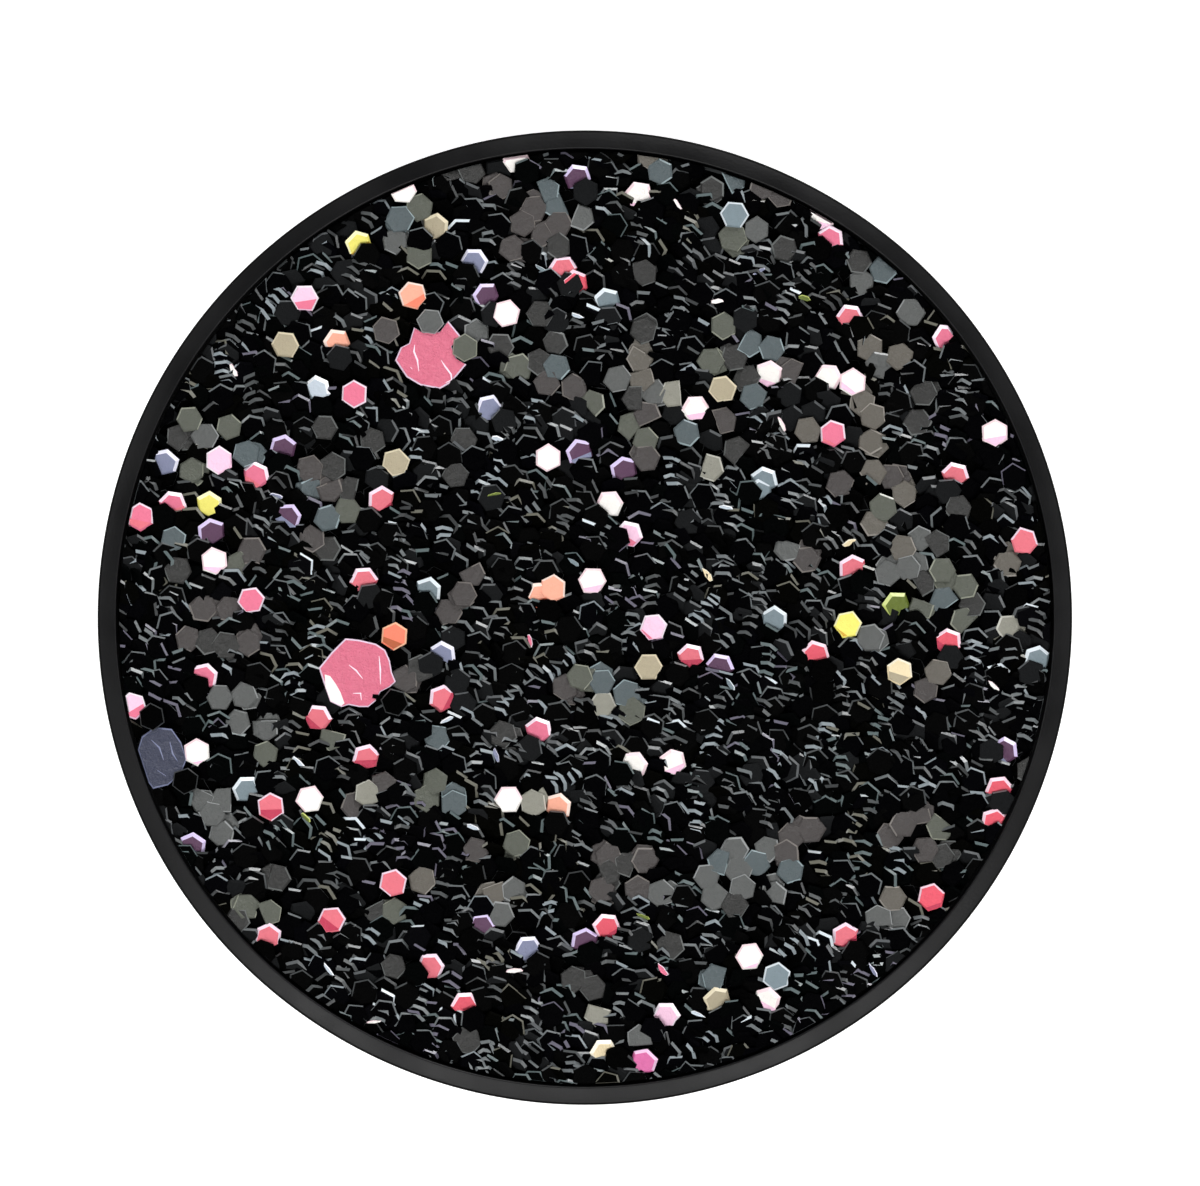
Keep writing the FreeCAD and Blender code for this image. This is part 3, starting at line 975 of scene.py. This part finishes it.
def lay_accents(rng, dark, bright):
    """The bright flakes, whole ones on top and others half under a dark one."""
    for tone, places in WHOLE_ACCENTS.items():
        for x, y in places:
            centre = (x, y, FLAKE_TOP_Z - 0.02)
            lift, tilt = UPWARD + rng.uniform(-50, 50), rng.uniform(2, 7)
            sides = some_sides(rng, rng.uniform(-1.2, 0.1), 1.0)
            add_with_painted_shade(rng, bright, tone, centre, lift, tilt, thickness=0.12, bevel=0.08, sides=sides)
    for tone, places in TUCKED_ACCENTS.items():
        for x, y in places:
            centre = (x, y, FLAKE_TOP_Z - 0.16)
            lift, tilt = UPWARD + rng.uniform(-45, 45), rng.uniform(14, 26)
            sides = some_sides(rng, -0.1, 1.0)
            add_with_painted_shade(rng, bright, tone, centre, lift, tilt, thickness=0.15, bevel=0.12, sides=sides)
            if rng.random() < 0.7:
                a = math.radians(lift + rng.uniform(-45, 45))
                gap = rng.uniform(0.55, 0.85)
                cover = (x - gap * math.cos(a), y - gap * math.sin(a), FLAKE_TOP_Z - 0.07)
                sides = some_sides(rng, rng.uniform(0, 0.6), 0.4)
                cover_tone, outline = dark_tone(rng, x, y), hexagon(rng)
                dark.add_plate(cover_tone, outline, cover, lift + rng.uniform(-30, 30), tilt * 0.6,
                               thickness=0.09, bevel=0.05, highlit_sides=sides)


def lay_glints(rng, bright, flats, covers):
    """Slivers of pale colour between the black flakes: painted highlights standing in for glints of light."""
    shares = {
        "white": 0.2, "lavender": 0.2, "ice": 0.2, "cream": 0.1, "steel": 0.16, "pink": 0.09, "green": 0.05,
    }
    for x, y in scattered(rng, CUT_R - 0.3, spacing=2.1, tries=4000):
        if rng.random() < 0.7 or crowded(x, y, flats, covers, small_gap=0.8, large_gap=1.9):
            continue
        tone = pick(rng, shares)
        narrow = rng.uniform(0.1, 0.22)
        outline = [(u * narrow, v * rng.uniform(0.4, 0.75)) for u, v in hexagon(rng)]
        lift, tilt = STREAK_LIFT + rng.gauss(0, 28), rng.uniform(5, 35)
        bright.add_plate(tone, outline, (x, y, FLAKE_TOP_Z - 0.08), lift, tilt, thickness=0.08, bevel=0.03)


def lay_large_flakes(rng, dark, grey, bright):
    """Big torn flakes of foil, creased, with small flakes lying over their edges."""
    z = FLAKE_TOP_Z - 0.06
    thickness = 0.08
    face_z = z + thickness / 2
    for flake in LARGE_FLAKES:
        cx, cy = flake["centre"]
        bright.add_plate(flake["tone"], flake["outline"][::-1], (cx, cy, z), 0, 0, thickness, bevel=0.06)
        for crease in flake["creases"]:
            points = [(cx + x, cy + y) for x, y in crease]
            bright.add_ridge(flake["crease_highlight_tone"], points, face_z, width=0.07, height=0.02)
        # A flat white patch on the face: a painted highlight where a fold catches the light.
        if flake["glint_patch"]:
            glint_patch = flake["glint_patch"][::-1]
            bright.add_plate("white", glint_patch, (cx, cy, face_z + 0.005), 0, 0, thickness=0.03, bevel=0.02)
        for tone, dx, dy in flake["overlaps"]:
            pile = dark if tone == "soot" else grey
            over = (cx + dx, cy + dy, z + 0.1)
            pile.add_plate(tone, hexagon(rng), over, UPWARD, 3, thickness=0.07, bevel=0.05)


def make_flakes():
    """All the flakes, in three piles. Every draw comes from one stream, so the calls stay in this order."""
    rng = random.Random(SEED)
    dark = FlakePile("glitter_dark_flakes", DARKS)
    grey = FlakePile("glitter_reflecting_flakes", REFLECTION_GREYS)
    bright = FlakePile("glitter_bright_flakes", [t for t in FLAKE_TONES if t not in DARKS + REFLECTION_GREYS])
    whole = [p for places in (*WHOLE_ACCENTS.values(), *TUCKED_ACCENTS.values()) for p in places]
    covers = [flake["centre"] for flake in LARGE_FLAKES]
    greys = place_reflecting_flats(rng, whole, covers)
    flats = whole + [(x, y) for x, y, tone in greys]
    lay_scales(rng, dark, flats, covers)
    lay_streaks(rng, dark, flats, covers)
    lay_dark_flats(rng, dark, flats, covers)
    lay_reflecting_flats(rng, grey, greys)
    lay_glints(rng, bright, flats, covers)
    lay_accents(rng, dark, bright)
    lay_large_flakes(rng, dark, grey, bright)
    for pile in (dark, grey, bright):
        pile.make()


# --- Studio ---

FRAME_WIDTH = 48.85  # width of the picture at the top's height
IMAGE_CENTRE = (0.616, 1.004)  # where the camera looks, from the grip's axis
CAMERA_RISE = 500.0
SENSOR = 36.0
# Brightness of the sky at heights from the horizon (0) to straight up (1)
SKY_LEVELS = [(0, 1.0), (0.12, 0.9), (0.35, 0.3), (0.6, 0.1), (0.85, 0.03), (1, 0.02)]
FLOOR_R = 4000.0
FLOOR_Z = -0.02


def soft_lamp(name, azimuth, elevation, spread, strength):
    """A distant lamp `spread` degrees across. Azimuth 0 is +X and 90 is +Y."""
    light = bpy.data.lights.new(name, "SUN")
    light.angle = math.radians(spread)
    light.energy = strength
    lamp = bpy.data.objects.new(name, light)
    a, e = math.radians(azimuth), math.radians(elevation)
    away = Vector((math.cos(a) * math.cos(e), math.sin(a) * math.cos(e), math.sin(e)))
    lamp.location = away * 0.5
    lamp.rotation_euler = away.to_track_quat("Z", "Y").to_euler()
    bpy.context.scene.collection.objects.link(lamp)


def make_world():
    """A pale studio, bright at the horizon and dim overhead, so that black faces stay black from above."""
    world = bpy.data.worlds.new("studio")
    world.use_nodes = True
    bpy.context.scene.world = world
    tree = world.node_tree
    coords = tree.nodes.new("ShaderNodeTexCoord")
    split = tree.nodes.new("ShaderNodeSeparateXYZ")
    tree.links.new(coords.outputs["Generated"], split.inputs["Vector"])
    ramp = tree.nodes.new("ShaderNodeValToRGB")
    stops = ramp.color_ramp.elements
    for height, _ in SKY_LEVELS[1:-1]:
        stops.new(height)
    for stop, (_, level) in zip(stops, SKY_LEVELS):
        stop.color = (level, level, level, 1)
    tree.links.new(split.outputs["Z"], ramp.inputs["Fac"])
    background = tree.nodes["Background"]
    tree.links.new(ramp.outputs["Color"], background.inputs["Color"])
    background.inputs["Strength"].default_value = 1.0


def make_floor():
    """A nearly white floor out to the horizon, with a glow that keeps shadows on it faint."""
    material, tree, shader = new_material("studio_floor")
    mottle = remap(tree, add_noise(tree, size=40.0), 0.3, 0.7, 0, 1)
    paper = mix_colours(tree, mottle, (0.93, 0.93, 0.93, 1), (0.95, 0.95, 0.95, 1))
    tree.links.new(paper, shader.inputs["Base Color"])
    shader.inputs["Roughness"].default_value = 0.9
    shader.inputs["Specular IOR Level"].default_value = 0.1
    shader.inputs["Emission Color"].default_value = (1, 1, 1, 1)
    shader.inputs["Emission Strength"].default_value = 0.55
    ring = []
    for degrees in range(0, 360, 5):
        angle = math.radians(degrees)
        ring.append((FLOOR_R * math.cos(angle), FLOOR_R * math.sin(angle), FLOOR_Z))
    floor = new_piece("floor", ring, [list(range(len(ring)))], [material])


def make_camera():
    """A camera that looks straight down at the top from far off, as through a long lens."""
    camera = bpy.data.cameras.new("camera")
    camera.sensor_width = SENSOR
    camera.lens = SENSOR * CAMERA_RISE / FRAME_WIDTH
    camera.clip_start = 0.01
    camera.clip_end = 20
    holder = bpy.data.objects.new("camera", camera)
    holder.location = (IMAGE_CENTRE[0] * MM, IMAGE_CENTRE[1] * MM, (TOP_Z + CAMERA_RISE) * MM)
    bpy.context.scene.collection.objects.link(holder)
    bpy.context.scene.camera = holder


def studio():
    """Sky, floor, camera and lamps. The two rim lamps light the rim's slope on its -Y side."""
    bpy.context.scene.view_settings.view_transform = "Standard"
    make_world()
    make_floor()
    make_camera()
    soft_lamp("key_above_picture", azimuth=75, elevation=22, spread=20, strength=2.2)
    soft_lamp("fill_left", azimuth=165, elevation=24, spread=26, strength=0.8)
    soft_lamp("fill_right", azimuth=10, elevation=24, spread=26, strength=0.6)
    soft_lamp("rim_below_left", azimuth=-118, elevation=52, spread=26, strength=1.25)
    soft_lamp("rim_below_right", azimuth=-62, elevation=52, spread=26, strength=1.25)


studio()
make_pad()
make_base()
make_wall("bellows_lower_lip", "bellows_lower_wall", "turntable", low_r=13.8, high_r=13.1, foot=14.4)
make_wall("bellows_middle_lip", "bellows_middle_wall", "middle", low_r=11.7, high_r=11.1)
make_wall("bellows_upper_lip", "bellows_upper_wall", "head", low_r=9.7, high_r=9.2, flange=6.8)
make_web("bellows_lower_fold", "bellows_lower_web", foot_r=12.6, head_r=11.2)
make_web("bellows_upper_fold", "bellows_upper_web", foot_r=10.6, head_r=9.2)
make_top_platform()
finish_cad_nodes()
make_resin_bed()
make_flakes()
